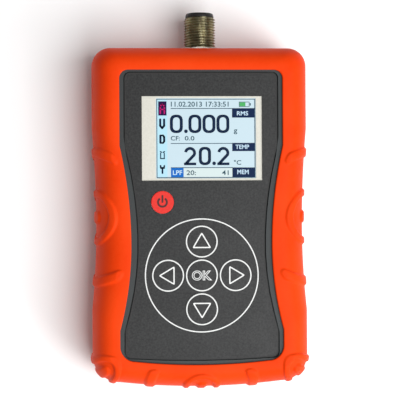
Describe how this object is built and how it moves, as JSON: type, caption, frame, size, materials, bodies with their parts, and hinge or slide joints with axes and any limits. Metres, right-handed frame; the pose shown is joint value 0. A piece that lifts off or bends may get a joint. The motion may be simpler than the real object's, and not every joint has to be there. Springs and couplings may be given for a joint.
{
  "type": "handheld vibration meter",
  "caption": "Handheld vibration meter in a ridged rubber boot, with a colour display, round keypad, red power key and a threaded sensor connector.",
  "frame": {"origin": "middle of the whole object's outline, on the plane that its back lies on", "axes": "+X to the right as the display is read, +Y along the length towards the connector, +Z out of the display"},
  "size_m": [0.0824, 0.1422, 0.036],
  "materials": {
    "boot_rubber": "matte moulded rubber",
    "case_plastic": "fine grain",
    "door_plastic": "fine grain",
    "seal_rubber": "matte",
    "screw_steel": "zinc plated",
    "overlay_film": "fine textured film",
    "key_film": "fine textured film",
    "power_key": "fine textured film",
    "spacer_film": "milky film",
    "circuit_film": "milky film with printed silver tracks",
    "dome_steel": "bright spring steel",
    "window_clear": "clear sheet with a white printed frame",
    "panel_glass": "lit display",
    "diffuser": "milky sheet",
    "tray_plastic": "moulded",
    "flex_film": "amber film",
    "board_laminate": "solder mask",
    "chip_resin": "moulded resin",
    "socket_plastic": "moulded",
    "connector_metal": "dark nickel plate",
    "insert_plastic": "moulded",
    "contact_gold": "gold plate",
    "washer_metal": "nickel plate",
    "nut_metal": "nickel plate",
    "lead_sleeve": "coloured sleeves",
    "cell_jacket": "printed jacket, bare of print",
    "spring_steel": "nickel plated",
    "plate_steel": "nickel plated"
  },
  "bodies": {
    "meter": {"rubber_boot": "boot_rubber", "front_case": "case_plastic", "rear_case": "case_plastic", "case_seal": "seal_rubber", "case_screws": "screw_steel", "graphic_overlay": "overlay_film", "dome_spacer": "spacer_film", "keypad_circuit": "circuit_film", "dome_up": "dome_steel", "dome_left": "dome_steel", "dome_ok": "dome_steel", "dome_right": "dome_steel", "dome_down": "dome_steel", "dome_power": "dome_steel", "display_window": "window_clear", "display_panel": "panel_glass", "backlight": "diffuser", "display_tray": "tray_plastic", "display_flex": "flex_film", "main_board": "board_laminate", "board_chips": "chip_resin", "board_sockets": "socket_plastic", "board_screws": "screw_steel", "connector_shell": "connector_metal", "connector_insert": "insert_plastic", "connector_pins": "contact_gold", "connector_seal": "seal_rubber", "connector_washer": "washer_metal", "connector_nut": "nut_metal", "sensor_leads": "lead_sleeve", "batteries": "cell_jacket", "battery_springs": "spring_steel", "contact_plates": "plate_steel", "battery_leads": "lead_sleeve"},
    "door": {"battery_door": "door_plastic"},
    "button_up": {"key_up": "key_film"},
    "button_left": {"key_left": "key_film"},
    "button_ok": {"key_ok": "key_film"},
    "button_right": {"key_right": "key_film"},
    "button_down": {"key_down": "key_film"},
    "button_power": {"key_power": "power_key"}
  },
  "joints": [
    {"name": "door_slide", "type": "slide", "parent": "meter", "child": "door", "axis": [0, -1, 0], "range_m": [0, 0.005]},
    {"name": "press_up", "type": "slide", "parent": "meter", "child": "button_up", "axis": [0, 0, -1], "range_m": [0, 0.0003], "stiffness_N_per_m": 8000, "deforming": ["dome_up"]},
    {"name": "press_left", "type": "slide", "parent": "meter", "child": "button_left", "axis": [0, 0, -1], "range_m": [0, 0.0003], "stiffness_N_per_m": 8000, "deforming": ["dome_left"]},
    {"name": "press_ok", "type": "slide", "parent": "meter", "child": "button_ok", "axis": [0, 0, -1], "range_m": [0, 0.0003], "stiffness_N_per_m": 8000, "deforming": ["dome_ok"]},
    {"name": "press_right", "type": "slide", "parent": "meter", "child": "button_right", "axis": [0, 0, -1], "range_m": [0, 0.0003], "stiffness_N_per_m": 8000, "deforming": ["dome_right"]},
    {"name": "press_down", "type": "slide", "parent": "meter", "child": "button_down", "axis": [0, 0, -1], "range_m": [0, 0.0003], "stiffness_N_per_m": 8000, "deforming": ["dome_down"]},
    {"name": "press_power", "type": "slide", "parent": "meter", "child": "button_power", "axis": [0, 0, -1], "range_m": [0, 0.0003], "stiffness_N_per_m": 8000, "deforming": ["dome_power"]}
  ]
}
